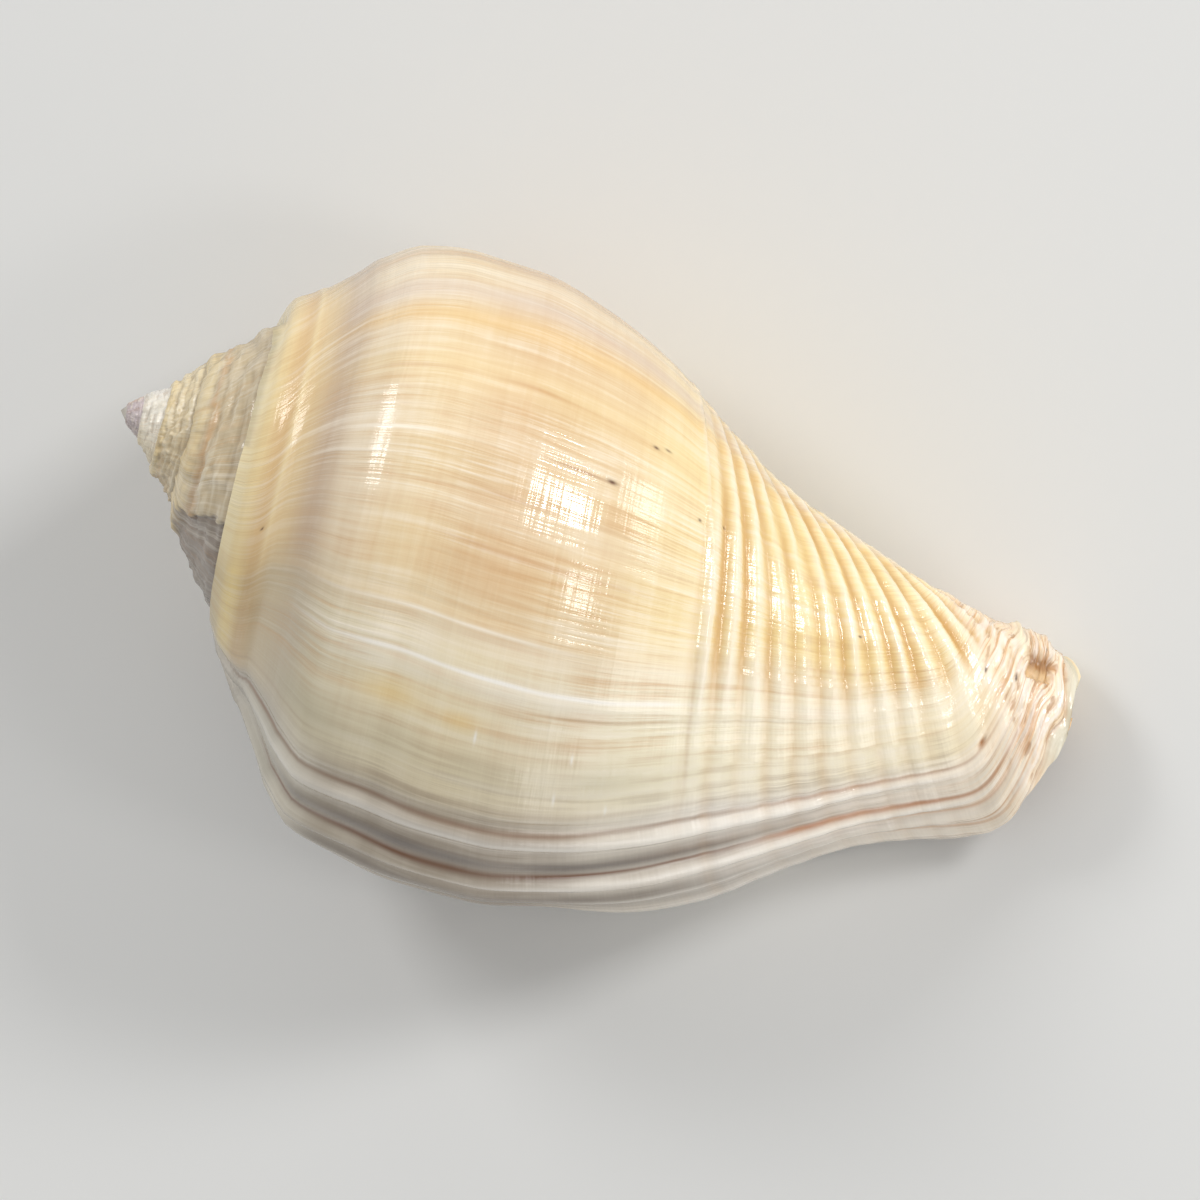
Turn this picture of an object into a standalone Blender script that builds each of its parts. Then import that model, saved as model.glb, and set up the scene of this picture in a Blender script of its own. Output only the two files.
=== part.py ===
"""Shell of Volema pyrum, a pear-shaped sea snail, lying on its aperture.

The surface is a spiral strip.  Every point of it has a place on the spiral and a place across it:

    turn angle   degrees round the shell's axis, growing from the apex to the outer lip
    axial place  millimetres along the axis from the apex towards the canal

In the shell's own axes +X runs from the apex to the canal, +Y at turn angle 0 and +Z, the back of the
shell, at 90.  The grown shape is a filled body first.  The living chamber is then cut out of it, the
shell is turned to the way it comes to rest, and the spots it rests on are cut flat.
"""

import math

import bmesh
import bpy
from mathutils import Vector

MM = 0.001

# Turn angles, degrees
LIP_ANGLE = 207.0
START_ANGLE = LIP_ANGLE - 360.0
APEX_ANGLE = -1500.0

# Suture, the line where a whorl meets the one before it: turn angle, axial place, radius
SUTURE = [
    (-1500.0, -0.05, 0.35), (-1260.0, 0.35, 0.85), (-1080.0, 1.1, 1.3), (-900.0, 1.75, 2.15),
    (-720.0, 3.0, 2.45), (-540.0, 3.4, 4.1), (-360.0, 5.1, 5.1), (-180.0, 6.0, 6.5),
    (0.0, 9.8, 9.8), (90.0, 10.6, 12.0), (180.0, 12.4, 14.5), (207.0, 13.1, 15.3),
]

# The flank runs from a suture to the next one.  Bulge off the straight line between them, in
# millimetres of radius, at FLANK_STATIONS of the way across
FLANK_STATIONS = [0.0, 0.06, 0.15, 0.33, 0.58, 0.82, 1.0]
FLANK_BULGE = [
    (-1080.0, [0.0, 0.10, 0.12, 0.10, 0.08, 0.05, 0.0]),
    (-720.0, [0.0, 0.15, 0.12, -0.02, 0.0, 0.08, 0.0]),
    (-360.0, [0.0, 0.25, 0.20, 0.0, -0.1, 0.2, 0.0]),
    (-180.0, [0.0, 0.80, 1.45, 1.40, 1.30, 1.0, 0.0]),
    (0.0, [0.0, 0.70, 0.80, 0.38, -0.05, -0.15, 0.0]),
    (180.0, [0.0, 1.0, 0.85, 0.50, -0.15, -0.1, 0.0]),
]

# Last whorl beyond its flank: radius at BODY_STATIONS of the way to the end of the canal, on the
# parietal side where the last turn starts, at turn angle 0 and at turn angle 180
BODY_STATIONS = [0.0, 0.05, 0.12, 0.20, 0.30, 0.40, 0.50, 0.60, 0.70, 0.78, 0.85, 0.91, 0.96, 1.0]
BODY_ANGLES = [START_ANGLE, 0.0, 180.0]
BODY_RADII = [
    [15.3, 16.5, 16.5, 14.9, 11.6, 8.2, 5.9, 4.7, 4.1, 3.8, 3.5, 3.1, 2.7, 2.0],
    [16.7, 18.8, 19.6, 19.55, 18.2, 15.65, 11.75, 8.8, 7.3, 6.0, 5.3, 4.85, 4.9, 3.7],
    [25.3, 27.95, 28.8, 29.35, 29.1, 27.6, 25.65, 22.3, 17.8, 14.6, 12.9, 11.9, 10.9, 8.0],
]
CANAL_END = [(START_ANGLE, 74.0), (0.0, 76.5), (57.0, 78.8), (100.0, 79.4), (180.0, 79.6), (260.0, 79.6)]

# Spiral lines drift towards the canal by this ratio in half a turn.  A line's mark is its axial place
# at turn angle 180
DRIFT = 1.26
FLANK_MARK = 20.0

# Edge of the lip, of the canal's rim and of the columella's tip: mark of the spiral line, turn angle
LIP_AT_SUTURE = 201.0
LIP_EDGE = [
    (20.0, 205.0), (31.0, 207.0), (56.0, 207.0), (64.1, 203.0), (70.6, 195.0), (76.0, 180.0),
    (81.5, 150.0), (87.2, 110.0), (90.2, 80.0), (92.8, 57.0), (97.4, 0.0), (102.9, -60.0),
    (113.5, START_ANGLE),
]

# Growth lines run nearly parallel to the lip, and sweep forward where they near the suture.  Growth is
# counted in degrees back from this line
SUTURE_MARK = 12.4
GROWTH_EDGE = [
    (SUTURE_MARK, 233.0), (14.5, 227.0), (16.7, 217.0), (20.0, 211.0), (31.0, 207.0), (62.0, 207.0),
    (67.3, 206.0), (72.0, 201.0), (76.6, 192.0), (83.3, 148.0), (86.0, 124.0), (88.0, 112.0),
    (90.4, 84.0), (92.5, 62.0), (97.0, 5.0), (102.9, -60.0), (113.5, START_ANGLE),
]

# Growth ridges along the lip: degrees before the lip, height, half width in degrees.  They fade over
# RIDGES_FADE of mark before RIDGES_END, where the canal's rim starts
LIP_RIDGES = [
    (57.0, -0.25, 2.2), (53.0, 0.30, 2.6), (47.5, -0.50, 3.0), (42.0, -0.30, 2.2), (37.5, 0.50, 2.4),
    (33.5, -0.20, 2.2), (29.0, 0.30, 2.6), (22.0, -0.30, 2.6), (13.0, 0.25, 5.0),
]
RIDGES_END = 97.0
RIDGES_FADE = 28.0

# Spiral cords of the base.  Over CORD_FADE degrees they sink to CORD_NEAR_LIP of their height at
# CORD_FADE_END degrees before the lip, and they rise from the columella between two turn angles
CORD_FIRST = 55.1
CORD_PITCH = 2.24
CORD_LAST = 81.0
CORD_HEIGHT = 0.15
CORD_FADE = 50.0
CORD_FADE_END = 20.0
CORD_NEAR_LIP = 0.25
CORD_RISE = (-90.0, -30.0)

# Mesh lines across the last whorl, between which the base has two to a cord, and mesh rows along
# the growth lines, close together near the lip
SHOULDER_MARKS = [20.0, 23.0, 27.0, 32.0, 38.0, 44.0, 50.0]
CANAL_MARKS = [82.0, 84.0, 86.0, 88.3, 90.4, 92.5, 94.6, 97.0, 100.0, 103.0, 105.7, 108.4, 111.0, 113.5]
NEAR_STEP = 3.0
NEAR_ROWS = 21
FAR_ROWS = 30

# Living chamber.  It stays WALL inside the outer surface and CALLUS off its core, the columella and
# the whorl before, which grows by the two ratios in a turn.  It is nowhere thinner than CHAMBER_GAP
WALL = 1.7
CALLUS = 0.5
COLUMELLA = 2.2
CORE_AXIAL_GROWTH = 1.59
CORE_RADIAL_GROWTH = 2.1
CHAMBER_GAP = 0.3
CHAMBER_TURN = 300.0
PAST_LIP = 28.0
CHAMBER_ROWS = 33
CHAMBER_LINES = 13

# It reaches from CHAMBER_TOP of the way across the flank to CANAL_MARK, and draws back from there by
# CANAL_RETREAT of mark for each degree inwards
CHAMBER_TOP = 0.5
CANAL_MARK = 88.0
CANAL_RETREAT = 0.2

# The first whorls lean to the lip's side of the axis
APEX_TIP = -0.3
APEX_LEAN = 0.7
LEAN_REACH = 2.0

# How the shell lies: on its belly, its lip and the tip of its canal, each ground flat by REST_FLAT
REST_ROLL = -8.2
REST_PITCH = 15.9
REST_FLAT = 0.3
GROUND_SIZE = 120.0

# Points closer than this, in metres, are one point of the mesh
WELD = 0.000002


def smooth_through(keys, x):
    """Value at x of a curve through keys that never overshoots them; a key is (x, value)."""
    if x <= keys[0][0]:
        return keys[0][1]
    if x >= keys[-1][0]:
        return keys[-1][1]
    steps = [(b[0] - a[0], (b[1] - a[1]) / (b[0] - a[0])) for a, b in zip(keys, keys[1:])]
    i = max(n for n in range(len(keys) - 1) if keys[n][0] <= x)

    def slope(n):
        if n == 0 or n == len(keys) - 1:
            return steps[min(n, len(steps) - 1)][1]
        before, after = steps[n - 1][1], steps[n][1]
        if before * after <= 0.0:
            return 0.0
        return 2.0 * before * after / (before + after)

    width = steps[i][0]
    t = (x - keys[i][0]) / width
    h00, h10 = (1 + 2 * t) * (1 - t) ** 2, t * (1 - t) ** 2
    h01, h11 = t * t * (3 - 2 * t), t * t * (t - 1)
    return (h00 * keys[i][1] + h10 * width * slope(i)
            + h01 * keys[i + 1][1] + h11 * width * slope(i + 1))


SUTURE_AXIAL = [(angle, axial) for angle, axial, _ in SUTURE]
SUTURE_LOG_RADIUS = [(angle, math.log(radius)) for angle, _, radius in SUTURE]


def suture(angle):
    return smooth_through(SUTURE_AXIAL, angle), math.exp(smooth_through(SUTURE_LOG_RADIUS, angle))


def drifted(mark, angle):
    """Axial place at a turn angle of the spiral line with this mark."""
    return mark * DRIFT ** ((angle - 180.0) / 180.0)


def body_radius(axial, angle):
    """Radius of the last whorl beyond its flank, before its relief."""
    first, last = drifted(FLANK_MARK, angle), smooth_through(CANAL_END, angle)
    place = (axial - first) / (last - first)
    logs = [math.log(smooth_through(list(zip(BODY_STATIONS, row)), place)) for row in BODY_RADII]
    start, middle, end = BODY_ANGLES
    return math.exp(
        logs[0] * (angle - middle) * (angle - end) / ((start - middle) * (start - end))
        + logs[1] * (angle - start) * (angle - end) / ((middle - start) * (middle - end))
        + logs[2] * (angle - start) * (angle - middle) / ((end - start) * (end - middle)))


def flank_point(across, angle):
    """Axial place and radius on the flank, across running from 0 at the suture to 1."""
    a0, r0 = suture(angle)
    if angle < START_ANGLE:
        a1, r1 = suture(angle + 360.0)
    else:
        a1 = drifted(FLANK_MARK, angle)
        r1 = body_radius(a1, angle)
    bulge = smooth_through(
        [(station, smooth_through([(key, row[n]) for key, row in FLANK_BULGE], angle))
         for n, station in enumerate(FLANK_STATIONS)], across)
    return a0 + (a1 - a0) * across, r0 + (r1 - r0) * across + bulge


def cord_relief(mark, angle, before_lip):
    """Height of the base's spiral cords, which fade towards the lip and on the columella."""
    if not CORD_FIRST - CORD_PITCH < mark < CORD_LAST:
        return 0.0
    wave = math.cos(2 * math.pi * (mark - CORD_FIRST) / CORD_PITCH)
    near_lip = min(1.0, max(CORD_NEAR_LIP, (before_lip - CORD_FADE_END) / CORD_FADE))
    low, high = CORD_RISE
    near_columella = min(1.0, max(0.0, (angle - low) / (high - low)))
    return 0.5 * CORD_HEIGHT * wave * near_lip * near_columella


def lip_relief(mark, angle):
    """Height of the growth ridges along the lip."""
    before_lip = smooth_through(GROWTH_EDGE, mark) - angle
    near_canal = min(1.0, max(0.0, (RIDGES_END - mark) / RIDGES_FADE))
    return near_canal * sum(height * math.exp(-((before_lip - place) / width) ** 2)
                            for place, height, width in LIP_RIDGES)


def shell_point(axial, radius, angle):
    turn = math.radians(angle)
    lean = APEX_LEAN * math.exp(-max(axial, 0.0) / LEAN_REACH)
    return Vector((axial, radius * math.cos(turn) - lean, radius * math.sin(turn)))


def lip_angle(mark):
    return smooth_through(LIP_EDGE, mark)


def flank_lip_angle(across):
    return LIP_AT_SUTURE + (lip_angle(FLANK_MARK) - LIP_AT_SUTURE) * across


def flank_vertex(across, angle):
    axial, radius = flank_point(across, angle)
    mark = SUTURE_MARK + (FLANK_MARK - SUTURE_MARK) * across
    relief = lip_relief(mark, angle) * math.sin(math.pi * across / 2)
    return shell_point(axial, radius + relief, angle)


def body_vertex(mark, angle):
    axial = drifted(mark, angle)
    relief = cord_relief(mark, angle, lip_angle(mark) - angle) + lip_relief(mark, angle)
    return shell_point(axial, body_radius(axial, angle) + relief, angle)


def body_marks():
    """Marks of the lengthwise mesh lines."""
    marks = list(SHOULDER_MARKS)
    mark = CORD_FIRST - CORD_PITCH / 2
    while mark < CORD_LAST:
        marks.append(mark)
        mark += CORD_PITCH / 2
    return marks + CANAL_MARKS


def row_delays():
    """How many degrees before the lip the mesh rows lie."""
    near = [NEAR_STEP * n for n in range(NEAR_ROWS)]
    full = LIP_AT_SUTURE - START_ANGLE
    return near + [near[-1] + (full - near[-1]) * (n + 1) / FAR_ROWS for n in range(FAR_ROWS)]


def add_grid(mesh, rows):
    """Faces between neighbouring rows of points; returns the rows of vertices."""
    made = [[mesh.verts.new(point * MM) for point in row] for row in rows]
    for row, below in zip(made, made[1:]):
        for n in range(len(row) - 1):
            mesh.faces.new((row[n], row[n + 1], below[n + 1], below[n]))
    return made


def filled_body():
    """The grown shape with nothing cut out of it, as one closed mesh."""
    mesh = bmesh.new()
    delays = row_delays()
    marks = body_marks()
    last_station = len(FLANK_STATIONS) - 1
    bare_suture = [LIP_AT_SUTURE + (LIP_ANGLE - LIP_AT_SUTURE) * n / last_station
                   for n in range(last_station + 1)]
    suture_angles = bare_suture[:0:-1] + [LIP_AT_SUTURE - delay for delay in delays]

    # Spire, turn by turn back from the last whorl
    turns = math.ceil((LIP_ANGLE - APEX_ANGLE) / 360.0)
    backs = [angle - 360.0 * turn for turn in range(1, turns) for angle in suture_angles[:-1]]
    add_grid(mesh, [[flank_vertex(across, back) for across in FLANK_STATIONS]
                    for back in backs if back > APEX_ANGLE])

    # Last whorl, rows along the growth lines
    rows = []
    for delay in delays + [360.0]:
        flank = [flank_vertex(across, max(flank_lip_angle(across) - delay, START_ANGLE))
                 for across in FLANK_STATIONS[:-1]]
        body = [body_vertex(mark, max(lip_angle(mark) - delay, START_ANGLE)) for mark in marks]
        rows.append(flank + body)
    add_grid(mesh, rows)

    # Face of the aperture, from the lip across to where the last turn starts
    inner_edge = ([flank_vertex(1.0, angle - 360.0) for angle in bare_suture]
                  + [body_vertex(mark, START_ANGLE) for mark in marks[1:]])
    add_grid(mesh, [rows[0], inner_edge])

    bmesh.ops.remove_doubles(mesh, verts=mesh.verts, dist=WELD)
    bmesh.ops.dissolve_degenerate(mesh, edges=mesh.edges, dist=WELD)

    # Tip of the apex
    tip = mesh.verts.new(shell_point(APEX_TIP, 0.0, 0.0) * MM)
    for edge in [edge for edge in mesh.edges if edge.is_boundary]:
        mesh.faces.new((edge.verts[0], edge.verts[1], tip))
    bmesh.ops.recalc_face_normals(mesh, faces=mesh.faces)
    return mesh


def core_radius(axial, angle):
    """Radius of what the chamber winds round: the columella and the whorl before."""
    if angle >= LIP_ANGLE:
        return max(COLUMELLA, body_radius(axial, angle - 360.0)) + CALLUS
    back = (LIP_ANGLE - angle) / 360.0
    radius = body_radius(axial * CORE_AXIAL_GROWTH ** back, START_ANGLE)
    return max(COLUMELLA, radius / CORE_RADIAL_GROWTH ** back) + CALLUS


def chamber():
    """Living chamber and canal as a closed cutter, from outside the lip back round the columella."""
    outer, inner = [], []
    for n in range(CHAMBER_ROWS + 1):
        delay = -PAST_LIP + (CHAMBER_TURN + PAST_LIP) * n / CHAMBER_ROWS
        last = CANAL_MARK - CANAL_RETREAT * max(0.0, delay)
        outer_row, inner_row = [], []
        for k in range(-1, CHAMBER_LINES + 1):
            if k < 0:
                angle = flank_lip_angle(CHAMBER_TOP) - delay
                axial, radius = flank_point(CHAMBER_TOP, angle)
            else:
                mark = FLANK_MARK + (last - FLANK_MARK) * k / CHAMBER_LINES
                angle = lip_angle(mark) - delay
                axial = drifted(mark, angle)
                radius = body_radius(axial, angle)
            core = core_radius(axial, angle)
            outer_row.append(shell_point(axial, max(radius - WALL, core + CHAMBER_GAP), angle))
            inner_row.append(shell_point(axial, core, angle))
        outer.append(outer_row)
        inner.append(inner_row)
    mesh = bmesh.new()
    add_grid(mesh, outer)
    add_grid(mesh, inner)
    for row in (0, -1):
        add_grid(mesh, [outer[row], inner[row]])
    for line in (0, -1):
        add_grid(mesh, [[row[line] for row in outer], [row[line] for row in inner]])
    bmesh.ops.remove_doubles(mesh, verts=mesh.verts, dist=WELD)
    bmesh.ops.recalc_face_normals(mesh, faces=mesh.faces)
    return mesh


def add_object(name, mesh):
    data = bpy.data.meshes.new(name)
    mesh.to_mesh(data)
    mesh.free()
    made = bpy.data.objects.new(name, data)
    bpy.context.scene.collection.objects.link(made)
    return made


def add_cut(target, cutter):
    cutter.hide_render = True
    cutter.display_type = "WIRE"
    cut = target.modifiers.new(cutter.name, "BOOLEAN")
    cut.operation = "DIFFERENCE"
    cut.solver = "EXACT"
    cut.object = cutter


def shell_material():
    material = bpy.data.materials.new("polished shell")
    material.use_nodes = True
    finish = material.node_tree.nodes["Principled BSDF"]
    finish.inputs["Base Color"].default_value = (0.80, 0.62, 0.38, 1.0)
    finish.inputs["Roughness"].default_value = 0.3
    finish.inputs["Metallic"].default_value = 0.0
    return material


def lay_down(pose, shell):
    """Turn the shell to the way it rests, its box centred on the origin and its lowest point just below."""
    pose.rotation_euler = (math.radians(REST_ROLL), math.radians(REST_PITCH), 0.0)
    bpy.context.view_layer.update()
    lying = shell.evaluated_get(bpy.context.evaluated_depsgraph_get())
    points = [lying.matrix_world @ vertex.co for vertex in lying.data.vertices]
    low, high = ([pick(point[axis] for point in points) for axis in range(3)] for pick in (min, max))
    pose.location = (-(low[0] + high[0]) / 2, -(low[1] + high[1]) / 2, -low[2] - REST_FLAT * MM)


def ground():
    """Cutter below the surface that the shell lies on."""
    mesh = bmesh.new()
    bmesh.ops.create_cube(mesh, size=GROUND_SIZE * MM)
    bmesh.ops.translate(mesh, verts=mesh.verts, vec=(0.0, 0.0, -GROUND_SIZE * MM / 2))
    return mesh


def main():
    for old in list(bpy.data.objects):
        bpy.data.objects.remove(old, do_unlink=True)
    pose = bpy.data.objects.new("resting pose", None)
    bpy.context.scene.collection.objects.link(pose)
    shell = add_object("shell", filled_body())
    hollow = add_object("chamber", chamber())
    shell.parent = pose
    hollow.parent = pose
    add_cut(shell, hollow)
    lay_down(pose, shell)
    add_cut(shell, add_object("ground", ground()))
    shell.data.materials.append(shell_material())
    shell.data.shade_smooth()


main()
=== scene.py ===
"""Volema pyrum: a polished pear-shaped seashell lying on its aperture, on a pale floor in studio light."""
import math

import bmesh
import bpy
import numpy as np
from mathutils import Euler, Matrix, Vector


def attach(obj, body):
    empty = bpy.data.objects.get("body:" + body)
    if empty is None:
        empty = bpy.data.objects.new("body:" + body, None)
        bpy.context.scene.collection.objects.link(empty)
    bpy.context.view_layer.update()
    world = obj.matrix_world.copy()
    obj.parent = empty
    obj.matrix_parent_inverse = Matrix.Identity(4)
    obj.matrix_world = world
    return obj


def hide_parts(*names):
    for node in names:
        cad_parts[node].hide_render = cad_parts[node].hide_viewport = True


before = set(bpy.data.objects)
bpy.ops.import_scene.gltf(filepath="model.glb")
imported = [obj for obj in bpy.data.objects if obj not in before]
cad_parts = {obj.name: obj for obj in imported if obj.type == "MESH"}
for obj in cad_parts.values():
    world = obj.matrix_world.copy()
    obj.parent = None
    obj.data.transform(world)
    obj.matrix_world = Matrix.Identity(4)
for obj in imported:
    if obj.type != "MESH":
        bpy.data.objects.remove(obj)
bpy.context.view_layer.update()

MM = 0.001

# The grown shape.  A point of the surface has a turn angle, in degrees round the shell's axis from the
# apex to the outer lip, and a mark, the axial place of its spiral line at turn angle 180
LIP_ANGLE = 207.0
START_ANGLE = LIP_ANGLE - 360.0
APEX_ANGLE = -1500.0

# Suture: turn angle, axial place, radius
SUTURE = [
    (-1500.0, -0.05, 0.35), (-1260.0, 0.35, 0.85), (-1080.0, 1.1, 1.3), (-900.0, 1.75, 2.15),
    (-720.0, 3.0, 2.45), (-540.0, 3.4, 4.1), (-360.0, 5.1, 5.1), (-180.0, 6.0, 6.5),
    (0.0, 9.8, 9.8), (90.0, 10.6, 12.0), (180.0, 12.4, 14.5), (207.0, 13.1, 15.3),
]

# Flank between one suture and the next: bulge off the straight line at stations across it
FLANK_STATIONS = [0.0, 0.06, 0.15, 0.33, 0.58, 0.82, 1.0]
FLANK_BULGE = [
    (-1080.0, [0.0, 0.10, 0.12, 0.10, 0.08, 0.05, 0.0]),
    (-720.0, [0.0, 0.15, 0.12, -0.02, 0.0, 0.08, 0.0]),
    (-360.0, [0.0, 0.25, 0.20, 0.0, -0.1, 0.2, 0.0]),
    (-180.0, [0.0, 0.80, 1.45, 1.40, 1.30, 1.0, 0.0]),
    (0.0, [0.0, 0.70, 0.80, 0.38, -0.05, -0.15, 0.0]),
    (180.0, [0.0, 1.0, 0.85, 0.50, -0.15, -0.1, 0.0]),
]

# Last whorl beyond its flank: radius at stations on the way to the end of the canal, at three angles
BODY_STATIONS = [0.0, 0.05, 0.12, 0.20, 0.30, 0.40, 0.50, 0.60, 0.70, 0.78, 0.85, 0.91, 0.96, 1.0]
BODY_ANGLES = [START_ANGLE, 0.0, 180.0]
BODY_RADII = [
    [15.3, 16.5, 16.5, 14.9, 11.6, 8.2, 5.9, 4.7, 4.1, 3.8, 3.5, 3.1, 2.7, 2.0],
    [16.7, 18.8, 19.6, 19.55, 18.2, 15.65, 11.75, 8.8, 7.3, 6.0, 5.3, 4.85, 4.9, 3.7],
    [25.3, 27.95, 28.8, 29.35, 29.1, 27.6, 25.65, 22.3, 17.8, 14.6, 12.9, 11.9, 10.9, 8.0],
]
CANAL_END = [(START_ANGLE, 74.0), (0.0, 76.5), (57.0, 78.8), (100.0, 79.4), (180.0, 79.6), (260.0, 79.6)]

DRIFT = 1.26
FLANK_MARK = 20.0
LAST_MARK = 113.5

# Edge of the lip and of the canal's end, and the lines that the shell grew along: mark, turn angle
LIP_AT_SUTURE = 201.0
LIP_EDGE = [
    (20.0, 205.0), (31.0, 207.0), (56.0, 207.0), (64.1, 203.0), (70.6, 195.0), (76.0, 180.0),
    (81.5, 150.0), (87.2, 110.0), (90.2, 80.0), (92.8, 57.0), (97.4, 0.0), (102.9, -60.0),
    (113.5, START_ANGLE),
]
SUTURE_MARK = 12.4
GROWTH_EDGE = [
    (SUTURE_MARK, 233.0), (14.5, 227.0), (16.7, 217.0), (20.0, 211.0), (31.0, 207.0), (62.0, 207.0),
    (67.3, 206.0), (72.0, 201.0), (76.6, 192.0), (83.3, 148.0), (86.0, 124.0), (88.0, 112.0),
    (90.4, 84.0), (92.5, 62.0), (97.0, 5.0), (102.9, -60.0), (LAST_MARK, START_ANGLE),
]

# Living chamber: millimetres, but for the marks, the turns in degrees and the growth per turn
WALL = 1.7
CALLUS = 0.5
COLUMELLA = 2.2
CORE_AXIAL_GROWTH = 1.59
CORE_RADIAL_GROWTH = 2.1
CHAMBER_GAP = 0.3
CHAMBER_TURN = 300.0
CHAMBER_TOP = 0.5
CANAL_MARK = 88.0
CANAL_SQUEEZE = 74.0
CANAL_RETREAT = 0.2
LIP_BULGE = 0.35
GLAZE_GROWTH = 30.0
GLAZE_RISE = 1.6
KEPT_BEFORE_LIP = 0.001

APEX_TIP = -0.3
APEX_LEAN = 0.7
LEAN_REACH = 2.0

# Pose in which it rests, as the solids have it: degrees and millimetres
REST_TURN = (-8.2, 15.9)
REST_PLACE = (-38.9449, 5.288, 23.1896)

# Mesh: lengthwise lines of the flank, and how many of the rest lie up to each mark; rows, and the degrees
# before the lip that each group of them ends at; then millimetres, and degrees between faces
FLANK_LINES = 20
BODY_LINES = [(52.0, 38), (80.0, 88), (92.0, 32), (LAST_MARK, 21)]
NEAR_ROWS, MIDDLE_ROWS, FAR_ROWS = 76, 150, 76
NEAR_END, MIDDLE_END = 60.0, 205.0
LIP_STEPS = 4
CORE_STEPS = 9
CHAMBER_ROWS = 22
WELD = 0.002
TIP_REACH = 3.0
SHARP_ANGLE = 50.0


def smooth_through(x, places, values):
    """Values at x of curves through the keys that never overshoot them; values may have a column per x."""
    x, places, values = np.asarray(x, float), np.asarray(places, float), np.asarray(values, float)
    flat = x.ravel()
    if values.ndim == 1:
        values = np.repeat(values[:, None], flat.size, axis=1)
    widths = np.diff(places)[:, None]
    steps = np.diff(values, axis=0) / widths
    before, after = steps[:-1], steps[1:]
    product = before * after
    slopes = np.empty_like(values)
    slopes[0], slopes[-1] = steps[0], steps[-1]
    slopes[1:-1] = np.where(product > 0, 2 * product / np.where(product > 0, before + after, 1.0), 0.0)
    inside = np.clip(flat, places[0], places[-1])
    i = np.clip(np.searchsorted(places, inside, side="right") - 1, 0, len(places) - 2)
    columns = np.arange(flat.size)
    width = widths[i, 0]
    t = (inside - places[i]) / width
    y = ((1 + 2 * t) * (1 - t) ** 2 * values[i, columns] + t * (1 - t) ** 2 * width * slopes[i, columns]
         + t * t * (3 - 2 * t) * values[i + 1, columns] + t * t * (t - 1) * width * slopes[i + 1, columns])
    return y.reshape(x.shape)


def keyed(keys, x, value=1):
    return smooth_through(x, [key[0] for key in keys], [key[value] for key in keys])


def suture(angle):
    log_radius = smooth_through(angle, [key[0] for key in SUTURE], [math.log(key[2]) for key in SUTURE])
    return keyed(SUTURE, angle), np.exp(log_radius)


def drifted(mark, angle):
    return mark * DRIFT ** ((angle - 180.0) / 180.0)


def body_radius(axial, angle):
    first, last = drifted(FLANK_MARK, angle), keyed(CANAL_END, angle)
    place = (axial - first) / (last - first)
    logs = [np.log(smooth_through(place, BODY_STATIONS, row)) for row in BODY_RADII]
    start, middle, end = BODY_ANGLES
    return np.exp(
        logs[0] * (angle - middle) * (angle - end) / ((start - middle) * (start - end))
        + logs[1] * (angle - start) * (angle - end) / ((middle - start) * (middle - end))
        + logs[2] * (angle - start) * (angle - middle) / ((end - start) * (end - middle)))


def flank_point(across, angle):
    across, angle = np.broadcast_arrays(np.asarray(across, float), np.asarray(angle, float))
    a0, r0 = suture(angle)
    behind = angle < START_ANGLE
    next_axial, next_radius = suture(angle + 360.0)
    line = drifted(FLANK_MARK, angle)
    a1 = np.where(behind, next_axial, line)
    r1 = np.where(behind, next_radius, body_radius(line, angle))
    stations = np.array([smooth_through(angle.ravel(), [key for key, _ in FLANK_BULGE],
                                        [row[n] for _, row in FLANK_BULGE])
                         for n in range(len(FLANK_STATIONS))])
    bulge = smooth_through(across.ravel(), FLANK_STATIONS, stations).reshape(angle.shape)
    return a0 + (a1 - a0) * across, r0 + (r1 - r0) * across + bulge


def shell_points(axial, radius, angle):
    """Places in the shell's own axes, in millimetres: +X towards the canal, +Z at turn angle 90."""
    turn = np.radians(angle)
    lean = APEX_LEAN * np.exp(-np.maximum(axial, 0.0) / LEAN_REACH)
    return np.stack([axial, radius * np.cos(turn) - lean, radius * np.sin(turn)], axis=-1)


def lip_angle(mark):
    return keyed(LIP_EDGE, mark)


def flank_lip_angle(across):
    return LIP_AT_SUTURE + (lip_angle(FLANK_MARK) - LIP_AT_SUTURE) * across


def flank_marks(across):
    return SUTURE_MARK + (FLANK_MARK - SUTURE_MARK) * across


def core_radius(axial, angle, callus=1.0):
    """What the chamber winds round: the columella and the whorl before."""
    back = np.maximum(0.0, (LIP_ANGLE - angle) / 360.0)
    grown = body_radius(axial * CORE_AXIAL_GROWTH ** back, np.full_like(axial, START_ANGLE))
    ahead = body_radius(axial, np.maximum(angle, LIP_ANGLE) - 360.0)
    radius = np.where(angle >= LIP_ANGLE, ahead, grown / CORE_RADIAL_GROWTH ** back)
    return np.maximum(COLUMELLA, radius) + CALLUS * callus


def body_marks():
    """Marks of the lengthwise mesh lines, seven to a cord on the base."""
    stretches, start = [], FLANK_MARK
    for end, lines in BODY_LINES:
        stretches.append(np.linspace(start, end, lines + 1)[:-1])
        start = end
    return np.append(np.concatenate(stretches), LAST_MARK)


def row_delays():
    """How many degrees before the lip the mesh rows lie."""
    full = LIP_AT_SUTURE - START_ANGLE
    return np.concatenate([
        np.linspace(0.0, NEAR_END, NEAR_ROWS)[:-1],
        np.linspace(NEAR_END, MIDDLE_END, MIDDLE_ROWS)[:-1],
        np.linspace(MIDDLE_END, full, FAR_ROWS)])


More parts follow.
